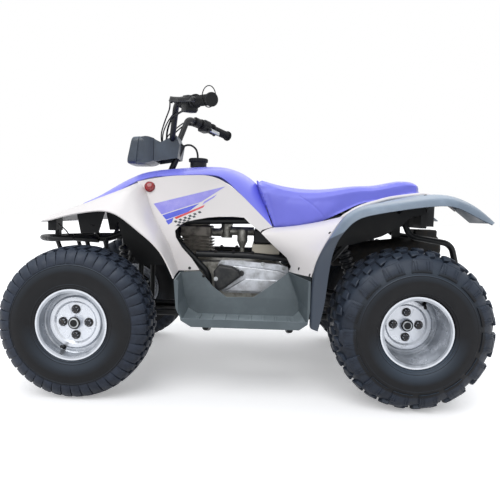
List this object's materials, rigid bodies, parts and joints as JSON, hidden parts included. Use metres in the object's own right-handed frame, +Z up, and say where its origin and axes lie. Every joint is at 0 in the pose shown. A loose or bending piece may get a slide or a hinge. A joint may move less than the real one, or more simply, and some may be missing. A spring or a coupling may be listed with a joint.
{
  "type": "quad bike",
  "caption": "Small two-wheel-drive quad bike with an open engine bay, foot wells, long seat, lugged low-pressure tyres and a steering bar that turns the front wheels.",
  "frame": {"origin": "on the ground under the middle of the outline", "axes": "+X forward, +Y to the rider's left, +Z up"},
  "size_m": [1.6201, 0.965, 0.9991],
  "materials": {
    "white_plastic": "warm white moulded polypropylene, satin gloss",
    "violet_plastic": "violet moulded polypropylene, gloss",
    "slate_plastic": "slate grey moulded polyethylene with grain",
    "grey_plastic": "grey moulded polyethylene with grain",
    "seat_vinyl": "violet coated vinyl over foam",
    "black_steel": "black powder coat on steel tube",
    "black_plastic": "black moulded plastic",
    "cream_plastic": "cream moulded plastic",
    "cast_aluminium": "die cast aluminium",
    "black_engine": "heat resistant black paint on cast fins",
    "exhaust_steel": "matt black heat paint on steel",
    "shock_steel": "black painted spring and damper",
    "zinc_steel": "zinc plated steel",
    "grip_rubber": "moulded black rubber",
    "headlamp": "black lamp housing with clear lens",
    "tail_lamp": "red lens",
    "tyre": "black tyre rubber",
    "rim_silver": "silver painted pressed steel",
    "black_rubber": "black rubber hose",
    "reflector": "red reflector"
  },
  "bodies": {
    "chassis": {"air_box": "black_plastic", "battery_box": "cream_plastic", "belt_case": "cast_aluminium", "engine_block": "cast_aluminium", "engine_cylinder": "black_engine", "exhaust_pipe": "exhaust_steel", "footboard_left": "grey_plastic", "footboard_right": "grey_plastic", "frame_base": "black_steel", "frame_cross": "black_steel", "frame_mid_left": "black_steel", "frame_mid_right": "black_steel", "frame_upper_left": "black_steel", "frame_upper_right": "black_steel", "front_arm_left": "black_steel", "front_arm_right": "black_steel", "front_bumper": "black_steel", "front_fender": "white_plastic", "front_guard": "black_plastic", "front_shock_left": "shock_steel", "front_shock_right": "shock_steel", "front_tower": "black_steel", "fuel_cap": "black_plastic", "hood": "violet_plastic", "intake": "cast_aluminium", "muffler": "exhaust_steel", "nose_box": "black_plastic", "rear_bar": "black_steel", "rear_fender": "slate_plastic", "rear_guard": "black_plastic", "rear_panel_left": "white_plastic", "rear_panel_right": "white_plastic", "rear_shock": "shock_steel", "reflectors": "reflector", "seat": "seat_vinyl", "starter_cover": "black_engine", "swingarm": "black_steel", "tail_bracket": "black_steel", "tail_lamp": "tail_lamp", "tank_cover": "violet_plastic", "vent_hose": "black_rubber"},
    "steering": {"steering_column": "black_steel", "handlebar": "black_steel", "grip_left": "grip_rubber", "grip_right": "grip_rubber", "headlamp": "headlamp", "bar_cover": "black_plastic"},
    "knuckle_left_body": {"knuckle_left": "black_steel"},
    "knuckle_right_body": {"knuckle_right": "black_steel"},
    "front_wheel_left": {"front_tyre_left": "tyre", "front_rim_left": "rim_silver"},
    "front_wheel_right": {"front_tyre_right": "tyre", "front_rim_right": "rim_silver"},
    "rear_wheels": {"rear_axle": "zinc_steel", "rear_tyre_left": "tyre", "rear_tyre_right": "tyre", "rear_rim_left": "rim_silver", "rear_rim_right": "rim_silver"},
    "tie_rod_left_body": {"tie_rod_left": "zinc_steel"},
    "tie_rod_right_body": {"tie_rod_right": "zinc_steel"}
  },
  "joints": [
    {"name": "steering", "type": "hinge", "parent": "chassis", "child": "steering", "pos_m": [0.49295, 0, 0.30761], "axis": [-0.4003, 0, 0.9164], "range_deg": [-40, 40]},
    {"name": "kingpin_left", "type": "hinge", "parent": "chassis", "child": "knuckle_left_body", "pos_m": [0.5145, 0.3, 0.241], "axis": [0, 0, 1], "range_deg": [-32, 32]},
    {"name": "kingpin_right", "type": "hinge", "parent": "chassis", "child": "knuckle_right_body", "pos_m": [0.5145, -0.3, 0.241], "axis": [0, 0, 1], "range_deg": [-32, 32]},
    {"name": "roll_front_left", "type": "hinge", "parent": "knuckle_left_body", "child": "front_wheel_left", "pos_m": [0.5145, 0.372, 0.241], "axis": [0, 1, 0], "continuous": true},
    {"name": "roll_front_right", "type": "hinge", "parent": "knuckle_right_body", "child": "front_wheel_right", "pos_m": [0.5145, -0.372, 0.241], "axis": [0, 1, 0], "continuous": true},
    {"name": "roll_rear", "type": "hinge", "parent": "chassis", "child": "rear_wheels", "pos_m": [-0.5405, 0, 0.252], "axis": [0, 1, 0], "continuous": true},
    {"name": "tie_rod_left", "type": "hinge", "parent": "knuckle_left_body", "child": "tie_rod_left_body", "pos_m": [0.4595, 0.3, 0.271], "axis": [0, 0, 1], "range_deg": [-32, 32]},
    {"name": "tie_rod_right", "type": "hinge", "parent": "knuckle_right_body", "child": "tie_rod_right_body", "pos_m": [0.4595, -0.3, 0.271], "axis": [0, 0, 1], "range_deg": [-32, 32]}
  ],
  "couplings": [
    {"joint": "kingpin_left", "follows": "steering", "ratio": 0.8},
    {"joint": "kingpin_right", "follows": "steering", "ratio": 0.8},
    {"joint": "tie_rod_left", "follows": "steering", "ratio": -0.8},
    {"joint": "tie_rod_right", "follows": "steering", "ratio": -0.8}
  ]
}
